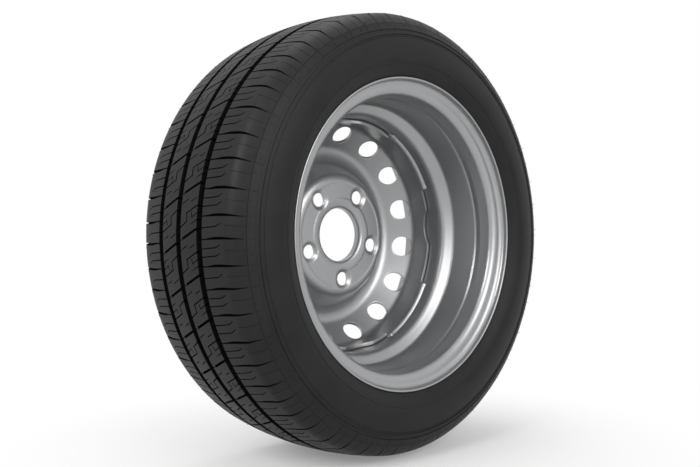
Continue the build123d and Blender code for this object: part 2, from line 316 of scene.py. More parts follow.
# Disc: pressed from a square blank of thicker sheet, dished outboard, with a funnel at the hub bore.
# Sixteen round vents are punched in its cone; five bolt holes stand in dimples pressed outboard.
# Its skirt sits in the well at four corners; between them it stands clear, with a scallop on each side.
disc_sheet = 0.004
hub_offset = 0.036
hub_radius = 0.0335
bore_collar = 0.011
bore_end = hub_offset + bore_collar
collar_round = 0.005
funnel_reach = 0.009
funnel_depth = 0.0016
bore_funnel = 0.014
coined_inner = 0.0466
coined_outer = 0.0656
coined_depth = 0.0003
coined_edge = 0.0005
pad_radius = 0.075
pad_round = 0.015
crown_inner = 0.097
crown_outer = 0.1115
crown_height = 0.034
crown_top = hub_offset + crown_height
crown_round = 0.014
skirt_outer = well_radius - rim_sheet
skirt_inner = skirt_outer - disc_sheet
skirt_bend = crown_top - (skirt_inner - crown_outer)
skirt_round = 0.010
skirt_edge = 0.014
skirt_phase = radians(44.2)
corner_count = 4
corner_half = radians(20.0)
corner_ease = radians(1.2)
side_relief = 0.0012
scallop_depth = 0.007
scallop_radius = 0.043
vent_count = 16
vent_radius = 0.01325
vent_ring = 0.1295
vent_phase = radians(15.6)
vent_cells = 24
vent_block = 5
vent_spread = 1.6
bolt_count = 5
bolt_ring = 0.056
bolt_radius = 0.0084
bolt_phase = radians(58.1)
bolt_rows = 6
bolt_columns = 9
bolt_spread = 1.2
dimple_height = 0.003
dimple_flat = 0.0078
dimple_end = 0.0142
profile_step = 0.0005
profile_turn = radians(2)
row_step = 0.0021
pad_row_step = 0.0014
press_edge = 0.0007


def ease(value, low, high):
    """Smooth rise from 0 at the low value to 1 at the high one."""
    share = min(max((value - low) / (high - low), 0.0), 1.0)
    return share * share * (3 - 2 * share)


class Profile:
    """A line of (radius, y) points that can be read at any distance along it."""

    def __init__(self, points):
        self.points = points
        self.marks = [0.0]
        for start, end in zip(points, points[1:]):
            self.marks.append(self.marks[-1] + (end - start).length)

    def at(self, distance):
        """Point at a distance from the start."""
        index = 0
        while index < len(self.marks) - 2 and self.marks[index + 1] < distance:
            index += 1
        length = self.marks[index + 1] - self.marks[index]
        return self.points[index].lerp(self.points[index + 1], (distance - self.marks[index]) / length)

    def reach(self, radius):
        """First distance at which the line reaches a radius."""
        for mark, point in zip(self.marks, self.points):
            if point.x >= radius:
                return mark
        return self.marks[-1]


disc_profile = Profile(
    rounded_line(
        [
            (hub_radius, bore_end),
            (hub_radius, hub_offset + funnel_depth),
            (hub_radius + funnel_reach, hub_offset),
            (pad_radius, hub_offset),
            (crown_inner, crown_top),
            (crown_outer, crown_top),
            (skirt_inner, skirt_bend),
            (skirt_inner, skirt_edge),
        ],
        [collar_round, bore_funnel, pad_round, crown_round, crown_round, skirt_round],
        run_step=profile_step,
        turn_step=profile_turn,
    )
)
coin_start = disc_profile.reach(coined_inner)
coin_end = disc_profile.reach(coined_outer)
pad_end = disc_profile.reach(pad_radius)
bolt_mark = disc_profile.reach(bolt_ring)
vent_mark = disc_profile.reach(vent_ring)
skirt_mark = disc_profile.reach(skirt_inner - merge_distance)
disc_end = disc_profile.marks[-1]


def spaced(start, end, step):
    """Distances from a start up to, not including, an end, evenly spaced by about a step."""
    count = max(1, round((end - start) / step))
    return [start + (end - start) * index / count for index in range(count)]


disc_marks = spaced(0.0, coin_start - coined_edge, pad_row_step) + [coin_start - coined_edge]
disc_marks += spaced(coin_start, bolt_mark, pad_row_step)
bolt_row = len(disc_marks)
disc_marks += spaced(bolt_mark, coin_end, pad_row_step) + [coin_end]
disc_marks += spaced(coin_end + coined_edge, pad_end, pad_row_step)
disc_marks += spaced(pad_end, vent_mark, row_step)
vent_row = len(disc_marks)
disc_marks += spaced(vent_mark, disc_end, row_step) + [disc_end]
disc_columns = vent_count * vent_cells
column_turn = tau / disc_columns
marks = [[mark] * disc_columns for mark in disc_marks]
turns = [[vent_phase + column_turn * column for column in range(disc_columns)] for _ in disc_marks]
holes = set()


def open_hole(row, turn, radius, rows, columns, spread):
    """Bends the rows and columns round a hole to its circle, and notes the cells that it takes out."""
    middle = disc_marks[row]
    ring = disc_profile.at(middle).x
    slope = (disc_profile.at(middle + row_step).x - disc_profile.at(middle - row_step).x) / (2 * row_step)
    column = round((turn - vent_phase) / column_turn)
    for down in range(-ceil(rows * spread), ceil(rows * spread) + 1):
        for across in range(-ceil(columns * spread), ceil(columns * spread) + 1):
            size = max(abs(down) / rows, abs(across) / columns)
            if -rows <= down < rows and -columns <= across < columns:
                holes.add((row + down, (column + across) % disc_columns))
            if size < 1 or size > spread:
                continue
            spoke = Vector((down / rows, across / columns)).normalized() * radius * size
            keep = (size - 1) / (spread - 1)
            bent_mark = middle + spoke.x + slope * spoke.y**2 / (2 * ring)
            bent_turn = turn + spoke.y / (ring + slope * spoke.x)
            plain_turn = vent_phase + column_turn * (column + across)
            place = (column + across) % disc_columns
            marks[row + down][place] = bent_mark + (disc_marks[row + down] - bent_mark) * keep
            turns[row + down][place] = bent_turn + (plain_turn - bent_turn) * keep


for vent in range(vent_count):
    vent_turn = vent_phase + tau / vent_count * vent
    open_hole(vent_row, vent_turn, vent_radius, vent_block, vent_block, vent_spread)
bolt_turns = [bolt_phase + tau / bolt_count * bolt for bolt in range(bolt_count)]
for bolt_turn in bolt_turns:
    open_hole(bolt_row, bolt_turn, bolt_radius, bolt_rows, bolt_columns, bolt_spread)
bolt_places = [Vector((bolt_ring * cos(turn), bolt_ring * sin(turn))) for turn in bolt_turns]


def skirt_shape(turn):
    """Edge of the skirt at an angle, and the share of the relief that its sides have there."""
    quarter = tau / corner_count
    off_corner = abs((turn - skirt_phase + quarter / 2) % quarter - quarter / 2)
    side = ease(off_corner, corner_half - corner_ease, corner_half + corner_ease)
    scallop_turn = vent_phase - tau / vent_count / 2
    across = skirt_inner * abs((turn - scallop_turn + quarter / 2) % quarter - quarter / 2)
    lift = 0.0
    if across < scallop_radius:
        lift = max(0.0, scallop_depth - scallop_radius + (scallop_radius**2 - across**2) ** 0.5)
    return skirt_edge + lift, side


def disc_point(mark, turn):
    """Point of the disc's hub side at a distance along its profile and an angle."""
    radius, y = disc_profile.at(mark)
    if mark > skirt_mark:
        edge, side = skirt_shape(turn)
        share = (mark - skirt_mark) / (disc_end - skirt_mark)
        top = disc_profile.at(skirt_mark).y
        y = top + (edge - top) * share
        radius -= side_relief * side * share
    elif mark < vent_mark:
        if coin_start - coined_edge / 2 < mark < coin_end + coined_edge / 2:
            y += coined_depth
        flat = Vector((radius * cos(turn), radius * sin(turn)))
        off_bolt = min((flat - place).length for place in bolt_places)
        y += dimple_height * (1 - ease(off_bolt, dimple_flat, dimple_end))
    return radius * cos(turn), y, radius * sin(turn)


disc_shape = bmesh.new()
disc_grid = []
for mark_row, turn_row in zip(marks, turns):
    disc_grid.append([disc_shape.verts.new(disc_point(mark, turn)) for mark, turn in zip(mark_row, turn_row)])
for row in range(len(disc_grid) - 1):
    for column in range(disc_columns):
        if (row, column) in holes:
            continue
        beside = (column + 1) % disc_columns
        above, below = disc_grid[row], disc_grid[row + 1]
        disc_shape.faces.new((above[column], below[column], below[beside], above[beside]))
loose = [vert for vert in disc_shape.verts if not vert.link_faces]
bmesh.ops.delete(disc_shape, geom=loose, context="VERTS")
disc = sheet_metal("pressed_disc", disc_shape, disc_sheet, press_edge)
finish_piece(disc, wheel_paint, ["disc"])


# Welds: a bead along each corner of the disc, laid in the angle between its edge and the well.
# Each bead is steel, painted over with the wheel, with the ripples that the arc leaves.
weld_leg = 0.004
weld_toe = 0.006
weld_bulge = 0.0011
ripple_pitch = 0.0019
ripple_height = 0.00035
bow_inward = 0.8
bow_hubward = 0.6
bead_taper = 0.004
bead_tip_share = 0.35
bead_stations = 150
bead_sides = 7
bead_end_swell = 0.12
bead_end_length = 0.010


def new_tree(name, **inputs):
    """Node tree with named inputs, the sockets that give them and their keys on a modifier."""
    tree = bpy.data.node_groups.new(name, "GeometryNodeTree")
    tree.interface.new_socket("Geometry", in_out="INPUT", socket_type="NodeSocketGeometry")
    keys = {}
    for key, kind in inputs.items():
        socket = tree.interface.new_socket(key, in_out="INPUT", socket_type=kind)
        keys[key] = socket.identifier
    tree.interface.new_socket("Geometry", in_out="OUTPUT", socket_type="NodeSocketGeometry")
    return tree, node(tree, "NodeGroupInput").outputs, keys


def grown(name, mesh, tree, keys, **values):
    """Mesh that a node tree makes from another, with those input values."""
    carrier = placed(name, mesh)
    growth = carrier.modifiers.new(name, "NODES")
    growth.node_group = tree
    for key, value in values.items():
        growth[keys[key]] = value
    result = baked(carrier)
    bpy.data.objects.remove(carrier)
    return result


def repeated(name, mesh, count, phase, finish, jitter=0.0, seed=0):
    """Mesh of copies round the spin axis, made by a node tree.

    The copies stand evenly, or each is off its place by up to a share of a step.
    """
    tree, given, keys = new_tree(
        name,
        Count="NodeSocketInt",
        Phase="NodeSocketFloat",
        Jitter="NodeSocketFloat",
        Seed="NodeSocketInt",
    )
    points = node(tree, "GeometryNodePoints", {"Count": given["Count"]})
    step = maths(tree, "DIVIDE", tau, given["Count"])
    index = node(tree, "GeometryNodeInputIndex").outputs[0]
    chance = node(tree, "FunctionNodeRandomValue", {"Seed": given["Seed"]}, data_type="FLOAT")
    place = maths(tree, "MULTIPLY_ADD", chance.outputs[1], given["Jitter"], index)
    turn = maths(tree, "MULTIPLY_ADD", place, step, given["Phase"])
    angles = node(tree, "ShaderNodeCombineXYZ", {"Y": maths(tree, "MULTIPLY", turn, -1.0)})
    rotation = node(tree, "FunctionNodeEulerToRotation", {0: angles.outputs[0]})
    copies = node(
        tree,
        "GeometryNodeInstanceOnPoints",
        {"Points": points.outputs[0], "Instance": given["Geometry"], "Rotation": rotation.outputs[0]},
    )
    real = node(tree, "GeometryNodeRealizeInstances", {"Geometry": copies.outputs[0]})
    coloured = node(tree, "GeometryNodeSetMaterial", {"Geometry": real.outputs[0], "Material": finish})
    node(tree, "NodeGroupOutput", {"Geometry": coloured.outputs[0]})
    return grown(name, mesh, tree, keys, Count=count, Phase=phase, Jitter=jitter, Seed=seed)


bead_shape = bmesh.new()
bead_rings = []
bead_length = 2 * corner_half * skirt_outer
for station in range(bead_stations + 1):
    share = station / bead_stations
    along = bead_length * share
    turn = corner_half * (2 * share - 1)
    to_end = min(along, bead_length - along)
    size = bead_tip_share + (1 - bead_tip_share) * ease(to_end, 0.0, bead_taper)
    size += bead_end_swell * (1 - ease(to_end, bead_taper, bead_end_length))
    ripple = ripple_height * abs(sin(pi * along / ripple_pitch)) - ripple_height / 2
    ring = []
    for side in range(bead_sides + 1):
        across = side / bead_sides
        bow = (weld_bulge * size + ripple) * sin(pi * across)
        radius = skirt_outer - weld_leg * size * (1 - across) - bow * bow_inward
        y = skirt_edge - weld_toe * size * across - bow * bow_hubward
        ring.append(bead_shape.verts.new((radius * cos(turn), y, radius * sin(turn))))
    ring.append(bead_shape.verts.new((skirt_outer * cos(turn), skirt_edge, skirt_outer * sin(turn))))
    bead_rings.append(ring)
for ring, following in zip(bead_rings, bead_rings[1:]):
    for side in range(len(ring)):
        beside = (side + 1) % len(ring)
        bead_shape.faces.new((ring[side], ring[beside], following[beside], following[side]))
bead_shape.faces.new(bead_rings[0][::-1])
bead_shape.faces.new(bead_rings[-1])
bmesh.ops.recalc_face_normals(bead_shape, faces=bead_shape.faces)
weld_paint = silver_paint("painted weld", (0.305, 0.308, 0.313), 0.35)
weld_bead = as_mesh("weld_bead", bead_shape, 50)
bead_mesh = repeated("weld beads", weld_bead, corner_count, skirt_phase, weld_paint)
disc_welds = placed("weld_beads", bead_mesh)
finish_piece(disc_welds, weld_paint, ["disc_welds"])


# Tyre: one tubeless moulding of black rubber, seated on the rim behind its flanges.
# Three straight grooves part two middle ribs and two shoulders; slots, diagonals and fine sipes cut them.
# Shoulder blocks come in three pitch lengths, ribs in one, and each half is the other turned half round.
tyre_low, tyre_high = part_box("tyre")
tread_radius = min(tyre_high.x, tyre_high.z, -tyre_low.x, -tyre_low.z)
half_tyre = 0.098
half_tread = 0.072
crown_radius = 0.420
shoulder_end = 0.0897
shoulder_end_radius = 0.2397
shoulder_bulge = 0.0021
widest_radius = 0.205
upper_bulge = 0.0020
lower_bulge = 0.0021
block_end = 0.0918
groove_spacing = 0.035
groove_half = 0.0041
groove_floor_half = 0.0029
groove_depth = 0.0075
slot_depth = 0.0062
slot_end_depth = 0.0012
slot_reach = 0.086
slot_arch = 0.0011
slot_mouth_shift = 0.0003
# Bends: share of the arch, distance from the middle. Lines, studs: share of the pitch, that distance.
slot_bends = [(0.0, 0.046), (0.9, 0.056), (1.0, 0.066), (0.6, 0.076)]
slot_widths = [0.0012, 0.0015, 0.0026, 0.0029, 0.0022, 0.0006]
sipe_width = 0.0011
sipe_depth = 0.005
sipe_knee = 0.0593
sipe_knee_shift = 0.0016
sipe_tip = 0.0653
sipe_tip_shift = 0.0047
sipe_tip_share = 0.7
long_sipes = (0.36, 0.66)
short_sipes = (0.52,)
bent_sipe_width = 0.0015
fine_width = 0.0005
fine_depth = 0.0006
tick_share = 1.3
# Depth at which a cut's painted shade is full.
full_shade_depth = 0.003
mould_ring = 0.088
mould_line = [(0.40, 0.0712), (0.43, 0.079), (0.44, mould_ring)]
pitch_turns = {"S": radians(5.1), "M": radians(6.0), "L": radians(6.7)}
pitch_order = "MSSMLMLMSMSMLM" * 4 + "MSMLM"
slot_phase = radians(128.5)
far_slot_shift = radians(1.0)
rib_count = 35
rib_phase = radians(127.5)
far_rib_shift = radians(5.75)
rib_lean = 0.43
rib_lead = 0.0085
diagonal_width = 0.0030
diagonal_depth = 0.0056
diagonal_stop = 0.0035
overrun = 0.002
stud_radius = 0.00045
stud_height = 0.0005
stud_sides = 6
block_studs = [(0.86, 0.0862), (0.84, 0.0735), (0.22, 0.0570), (0.33, 0.0898)]
tread_step = 0.0042
cut_nearness = 1e-7
edge_nearness = 1e-6
tyre_steps = 216


def bowed(share, height):
    """Height of a shallow bow over a share of its chord."""
    return 4 * height * share * (1 - share)


def contour_at(y):
    """Radius of the tyre's outside at a distance from its middle, down to the widest place."""
    y = abs(y)
    edge = tread_radius - crown_radius + (crown_radius**2 - half_tread**2) ** 0.5
    if y <= half_tread:
        return tread_radius - crown_radius + (crown_radius**2 - y**2) ** 0.5
    if y <= shoulder_end:
        share = (y - half_tread) / (shoulder_end - half_tread)
        drop = edge - shoulder_end_radius
        bow = shoulder_bulge * hypot(drop, shoulder_end - half_tread) / (shoulder_end - half_tread)
        return edge - drop * share + bowed(share, bow)
    rise = half_tyre - shoulder_end + 4 * upper_bulge
    share = (rise - (rise**2 - 16 * upper_bulge * (y - shoulder_end)) ** 0.5) / (8 * upper_bulge)
    return shoulder_end_radius + (widest_radius - shoulder_end_radius) * share


def ribbon(path, widths):
    """Outline of a band along a path of (x, y) points, with its own width at each point."""
    left = []
    right = []
    path = [Vector(point) for point in path]
    for index, (point, width) in enumerate(zip(path, widths)):
        came = (point - path[index - 1]).normalized() if index else (path[1] - point).normalized()
        goes = (path[index + 1] - point).normalized() if index < len(path) - 1 else came
        along = (came + goes).normalized()
        half = width / 2 / max(along.dot(goes), 0.5)
        aside = Vector((-along.y, along.x)) * half
        left.append(point + aside)
        right.append(point - aside)
    return right + left[::-1]


def tread_unit(span, low, high, cuts, lean=0.0, two_walls=False, studs=(), turned=False):
    """One flat tread unit as (x, y, radius) points: land, cuts darkened with painted shade, studs and main
    groove walls.

    A cut is an outline, its depth at the unit's groove side and its depth at the other side.
    """
    points = []
    lines = []
    areas = []

    def outline(corners):
        first = len(points)
        points.extend(Vector(corner) for corner in corners)
        areas.append(list(range(first, len(points))))

    outline([(span[0], low), (span[1], low), (span[1], high), (span[0], high)])
    for cut in cuts:
        outline(cut[0])
    rows = ceil((high - low) / tread_step)
    for row in range(1, rows):
        y = low + (high - low) * row / rows
        lines.append((len(points), len(points) + 1))
        points.extend([Vector((span[0], y)), Vector((span[1], y))])
    columns = ceil((span[1] - span[0]) / (2 * tread_step))
    for column in range(1, columns):
        x = span[0] + (span[1] - span[0]) * column / columns
        lines.append((len(points), len(points) + 1))
        points.extend([Vector((x, low)), Vector((x, high))])
    flat, _, cells, _, _, owners = delaunay_2d_cdt(points, lines, areas, 1, cut_nearness)
    shape = bmesh.new()
    painted_cut_shade = shape.loops.layers.float.new("painted_cut_shade")
    corners = {}
    side = -1 if turned else 1

    def corner(index, level):
        """Vertex over a flat point: on the land, in a numbered cut, or at the foot of a main groove."""
        if (index, level) not in corners:
            x, y = flat[index]
            x += lean * (y - low)
            radius = contour_at(y)
            if level == "foot":
                y += (groove_half - groove_floor_half) * (1 if y > (low + high) / 2 else -1)
                radius -= groove_depth
            elif level:
                _, near, far = cuts[level - 1]
                radius -= near + (far - near) * (high - y) / (high - low)
            corners[index, level] = shape.verts.new((x * side, y * side, radius))
        return corners[index, level]

    def shade(face, level):
        """Marks a face of a cut with painted shade, the more so the deeper the cut is."""
        depth = groove_depth if level == "foot" else cuts[level - 1][1] if level else 0.0
        for loop in face.loops:
            loop[painted_cut_shade] = min(1.0, depth / full_shade_depth)

    beside = {}
    for cell, owner in zip(cells, owners):
        if 0 not in owner:
            continue
        level = max(owner)
        shade(shape.faces.new([corner(index, level) for index in cell]), level)
        for start, end in zip(cell, cell[1:] + cell[:1]):
            beside[start, end] = level
    for (start, end), level in beside.items():
        other = beside.get((end, start))
        if other is None:
            at_low = two_walls and max(flat[start].y, flat[end].y) < low + edge_nearness
            at_high = min(flat[start].y, flat[end].y) > high - edge_nearness
            if not (at_low or at_high):
                continue
            other = "foot"
        elif level >= other:
            continue
        ring = (corner(start, level), corner(start, other), corner(end, other), corner(end, level))
        shade(shape.faces.new(ring), other)
    for x, y in studs:
        base = []
        top = []
        for index in range(stud_sides):
            turn = tau * index / stud_sides
            place = Vector((x + stud_radius * cos(turn), y + stud_radius * sin(turn)))
            radius = contour_at(place.y)
            base.append(shape.verts.new((place.x * side, place.y * side, radius)))
            top.append(shape.verts.new((place.x * side, place.y * side, radius + stud_height)))
        shape.faces.new(top)
        for index in range(stud_sides):
            following = (index + 1) % stud_sides
            shape.faces.new((base[index], base[following], top[following], top[index]))
    return shape


def wrapped(name, shape, turns, finish):
    """Mesh of flat units, each bent round the spin axis from its start angle over its step."""
    tree, given, keys = new_tree(name, Starts="NodeSocketObject", Merge="NodeSocketFloat")
    starts = node(tree, "GeometryNodeObjectInfo", {"Object": given["Starts"]}).outputs["Geometry"]
    copies = node(tree, "GeometryNodeInstanceOnPoints", {"Points": starts, "Instance": given["Geometry"]})
    real = node(tree, "GeometryNodeRealizeInstances", {"Geometry": copies.outputs[0]})
    position = node(tree, "GeometryNodeInputPosition").outputs[0]
    place = node(tree, "ShaderNodeSeparateXYZ", {0: position}).outputs
    start, step = (
        node(tree, "GeometryNodeInputNamedAttribute", {"Name": key}, data_type="FLOAT").outputs[0]
        for key in ("start", "step")
    )
    turn = maths(tree, "MULTIPLY_ADD", place["X"], step, start)
    bent_x = maths(tree, "MULTIPLY", place["Z"], maths(tree, "COSINE", turn))
    bent_z = maths(tree, "MULTIPLY", place["Z"], maths(tree, "SINE", turn))
    bent = node(tree, "ShaderNodeCombineXYZ", {"X": bent_x, "Y": place["Y"], "Z": bent_z})
    moved = node(tree, "GeometryNodeSetPosition", {"Geometry": real.outputs[0], "Position": bent.outputs[0]})
    outward = node(tree, "GeometryNodeFlipFaces", {0: moved.outputs[0]}).outputs[0]
    whole = node(tree, "GeometryNodeMergeByDistance", {"Geometry": outward, "Distance": given["Merge"]})
    coloured = node(tree, "GeometryNodeSetMaterial", {"Geometry": whole.outputs[0], "Material": finish})
    node(tree, "NodeGroupOutput", {"Geometry": coloured.outputs[0]})
    start_points = bpy.data.meshes.new(name + " starts")
    start_points.from_pydata([(0, 0, 0)] * len(turns), [], [])
    for key, values in zip(("start", "step"), zip(*turns)):
        start_points.attributes.new(key, "FLOAT", "POINT").data.foreach_set("value", values)
    start_object = placed(name + " starts", start_points)
    result = grown(name, as_mesh(name, shape), tree, keys, Starts=start_object, Merge=merge_distance)
    bpy.data.objects.remove(start_object)
    return result


def black_rubber(name, base, rough_low, rough_high):
    """Moulded black rubber: a dull bloom in slow patches over a fine grain, with shade painted darker into
    cuts.
    """
    finish, tree, surface, place = new_finish(name)
    bloom = noise(tree, place, Scale=22.0, Detail=5.0, Roughness=0.6)
    grain = noise(tree, place, Scale=700.0, Detail=2.0)
    plain = shades(tree, bloom, toned(base, 0.85), toned(base, 1.2), start=0.3, end=0.75)
    painted_cut_shade = node(tree, "ShaderNodeAttribute", attribute_name="painted_cut_shade").outputs["Fac"]
    # Painted shade: a cut's colour falls towards 8 % of the rubber's as the cut deepens.
    painted_shade_colour = (*toned(base, 0.08), 1)
    shaded = node(tree, "ShaderNodeMix", {"Factor": painted_cut_shade, 6: plain, 7: painted_shade_colour}, data_type="RGBA")
    looks = {
        "Base Color": shaded.outputs[2],
        "Roughness": maths(tree, "MAXIMUM", ranged(tree, bloom, rough_low, rough_high), painted_cut_shade),
        "Normal": bumped(tree, grain, 0.15),
        "Specular IOR Level": 0.13,
    }
    give(tree, surface, looks)
    return finish


tyre_rubber = black_rubber("tyre rubber", (0.0145, 0.0145, 0.015), 0.38, 0.54)
groove_edge = groove_spacing - groove_half
block_start = groove_spacing + groove_half


def shoulder_cuts(pitch, sipe_shares):
    """Cuts of one near-side shoulder block between two slots, shallow ones first."""
    ring = [(-overrun, -mould_ring - fine_width / 2), (pitch + overrun, -mould_ring - fine_width / 2)]
    ring += [(x, y + fine_width) for x, y in ring[::-1]]
    cuts = [(ring, fine_depth, fine_depth)]
    line = [(share * pitch, -y) for share, y in mould_line]
    cuts.append((ribbon(line, [fine_width] * len(line)), fine_depth, fine_depth))
    sipe_widths = [sipe_width, sipe_width, sipe_width * sipe_tip_share]
    for share in sipe_shares:
        x = pitch * share
        knee = (x - sipe_knee_shift, -sipe_knee)
        tip = (x - sipe_tip_shift, -sipe_tip)
        path = [(x, overrun - block_start), knee, tip]
        cuts.append((ribbon(path, sipe_widths), sipe_depth, sipe_depth))
    for x in (0.0, pitch):
        tick = [(x, -slot_reach), (x, -block_end - overrun)]
        cuts.append((ribbon(tick, [fine_width * tick_share] * 2), fine_depth, fine_depth))
        path = [(x + slot_mouth_shift, overrun - block_start)]
        path += [(x - slot_arch * arch, -y) for arch, y in slot_bends]
        path.append((x, -slot_reach))
        cuts.append((ribbon(path, slot_widths), slot_depth, slot_end_depth))
    return cuts


def rib_cuts(open_inside):
    """Cuts of one rib unit, with x measured from the diagonal along the rib's lean.

    The diagonal opens into the groove on one side and stops short of the other, where a hairline
    goes on. A sipe is a path of points: how far across the rib, and how far along it.
    """
    low = -groove_edge
    width = groove_edge - groove_half

    def sipe(*path, width=sipe_width, depth=sipe_depth):
        return ribbon([(x, low + y) for y, x in path], [width] * len(path)), depth, depth

    stops = (diagonal_stop, width + overrun) if open_inside else (-overrun, width - diagonal_stop)
    return [
        sipe((-overrun, 0.0), (width + overrun, 0.0), depth=fine_depth * 2),
        sipe((0.003, 0.0142), (0.011, 0.0146)),
        sipe((0.016, 0.0098), (0.0258, 0.0106)),
        sipe((-overrun, 0.0305), (0.0080, 0.0320), (0.0092, 0.0262)),
        sipe((-overrun, 0.0375), (0.0102, 0.0386)),
        sipe(
            (-overrun, 0.0232),
            (0.0172, 0.0236),
            (0.0160, 0.0324),
            (width + overrun, 0.0342),
            width=bent_sipe_width,
        ),
        sipe((stops[0], 0.0), (stops[1], 0.0), width=diagonal_width, depth=diagonal_depth),
    ]


long_pitch = pitch_turns["M"] * tread_radius
short_pitch = pitch_turns["S"] * tread_radius
rib_turn = tau / rib_count
rib_pitch = rib_turn * tread_radius
pitch_scale = tau / sum(pitch_turns[letter] for letter in pitch_order)
block_turns = []
turn = slot_phase
for letter in pitch_order:
    block_turns.append((letter, turn, pitch_turns[letter] * pitch_scale))
    turn += pitch_turns[letter] * pitch_scale


def unit_shares(shape, pitch):
    """Turns a unit's x from a length into a share of its pitch."""
    for vert in shape.verts:
        vert.co.x /= pitch
    return shape


def half_tread_meshes(turned):
    """The shoulder blocks and the rib of one half of the tread."""
    meshes = []
    kinds = [("long blocks", "ML", long_pitch, long_sipes), ("short blocks", "S", short_pitch, short_sipes)]
    for name, letters, pitch, shares in kinds:
        cuts = shoulder_cuts(pitch, shares)
        studs = [(share * pitch, -y) for share, y in block_studs]
        shape = tread_unit((0.0, pitch), -block_end, -block_start, cuts, studs=studs, turned=turned)
        turns = [(start, step) for letter, start, step in block_turns if letter in letters]
        if turned:
            turns = [(start + step + far_slot_shift, step) for start, step in turns]
        meshes.append(wrapped(name, unit_shares(shape, pitch), turns, tyre_rubber))
    shape = tread_unit(
        (-rib_lead, rib_pitch - rib_lead),
        -groove_edge,
        -groove_half,
        rib_cuts(open_inside=turned),
        lean=rib_lean,
        two_walls=True,
        turned=turned,
    )
    shift = far_rib_shift if turned else 0.0
    turns = [(rib_phase + shift + rib_turn * rib, rib_turn) for rib in range(rib_count)]
    meshes.append(wrapped("rib", unit_shares(shape, rib_pitch), turns, tyre_rubber))
    return meshes


# Sidewalls, beads and the air side are turned in one strip that starts and ends at the shoulder blocks.
# A shallow channel and a raised ring run below the blocks, and a second ring guards the rim's edge.
lip_rise = 0.003
lip_overhang = 0.0014
lip_radius = flange_radius + lip_rise
lip_width = flange_edge + lip_overhang
bead_clearance = 0.0003
bead_width = 0.0155
bead_edge_round = 0.0005
bead_face = half_rim - bead_clearance
bead_toe = bead_face - bead_width
bead_seat = seat_radius + bead_clearance
bead_toe_radius = bead_seat - bead_width * tan(seat_taper)
lip_foot = (flange_radius + bead_clearance, flange_edge - 0.0015)
lip_corner = (lip_radius - 0.0004, lip_width - 0.0003)
air_side = [(0.177, 0.067), (widest_radius, 0.091), (0.2420, 0.079)]
air_rounds = [0.004, 0.010]
air_run_step = 0.012
crown_wall = 0.013
crown_fall = 0.004
crown_knee = 0.05
side_rows = 24
floor_flat = 0.001
channel_depth = 0.0008
ring_height = 0.0010
guard_height = 0.0005
hairline_depth = 0.0004
flank = 0.0003
hairline_flank = 0.0002
ring_outer, ring_inner = 0.2306, 0.2287
hairline_outer, hairline_inner = 0.2262, 0.2257
guard_outer, guard_inner = 0.1985, 0.1962
block_radius = contour_at(block_end)
side_relief_line = [
    (block_radius, 0.0),
    (block_radius - flank, -channel_depth),
    (ring_outer, -channel_depth),
    (ring_outer - flank, ring_height),
    (ring_inner, ring_height),
    (ring_inner - flank, 0.0),
    (hairline_outer, 0.0),
    (hairline_outer - hairline_flank, -hairline_depth),
    (hairline_inner, -hairline_depth),
    (hairline_inner - hairline_flank, 0.0),
    (guard_outer, 0.0),
    (guard_outer - flank, guard_height),
    (guard_inner, guard_height),
    (guard_inner - flank, 0.0),
]


def relief_at(radius):
    """Height of the sidewall's rings over its plain surface at a radius."""
    for (high, height), (low, following) in zip(side_relief_line, side_relief_line[1:]):
        if low <= radius <= high:
            return height + (following - height) * (high - radius) / (high - low)
    return 0.0


def sidewall_at(radius):
    """Distance of the sidewall from the tyre's middle at a radius, rings included."""
    if radius > widest_radius:
        share = (shoulder_end_radius - radius) / (shoulder_end_radius - widest_radius)
        y = shoulder_end + (half_tyre - shoulder_end) * share + bowed(share, upper_bulge)
    else:
        share = (widest_radius - radius) / (widest_radius - lip_radius)
        y = half_tyre + (lip_width - half_tyre) * share + bowed(share, lower_bulge)
    return y + relief_at(radius)


side_radii = [radius for radius, _ in side_relief_line]
for row in range(1, side_rows + 1):
    side_radii.append(block_radius + (lip_radius - block_radius) * row / side_rows)
side_line = [Vector((radius, sidewall_at(radius))) for radius in sorted(side_radii, reverse=True)]
side_line += rounded_line(
    [
        lip_corner,
        lip_foot,
        (flange_radius + bead_clearance, bead_face),
        (bead_seat, bead_face),
        (bead_toe_radius, bead_toe),
        *air_side,
    ],
    [bead_edge_round, flange_curl, flange_foot, bead_edge_round, *air_rounds],
    run_step=air_run_step,
)
air_crown = tread_radius - crown_wall
carcass_line = side_line + [Vector((air_crown - crown_fall, crown_knee)), Vector((air_crown, 0.0))]
carcass_line += [Vector((point.x, -point.y)) for point in carcass_line[-2::-1]]
tyre_shape = spun(carcass_line, tyre_steps)
tyre_shape.loops.layers.float.new("painted_cut_shade")
for groove in (-1, 0, 1):
    middle = groove_spacing * groove
    floor_edges = (-groove_floor_half, -floor_flat, floor_flat, groove_floor_half)
    floor_tops = (-groove_half, 0.0, 0.0, groove_half)
    floor_line = []
    for edge, top in zip(floor_edges, floor_tops):
        floor_line.append(Vector((contour_at(middle + top) - groove_depth, middle + edge)))
    floor_mesh = as_mesh("groove floor", spun(floor_line, tyre_steps))
    # Groove floors take the full painted shade.
    groove_floor_shade = floor_mesh.attributes.new("painted_cut_shade", "FLOAT", "CORNER")
    groove_floor_shade.data.foreach_set("value", [1.0] * len(floor_mesh.loops))
    tyre_shape.from_mesh(floor_mesh)
for turned in (False, True):
    for mesh in half_tread_meshes(turned):
        tyre_shape.from_mesh(mesh)

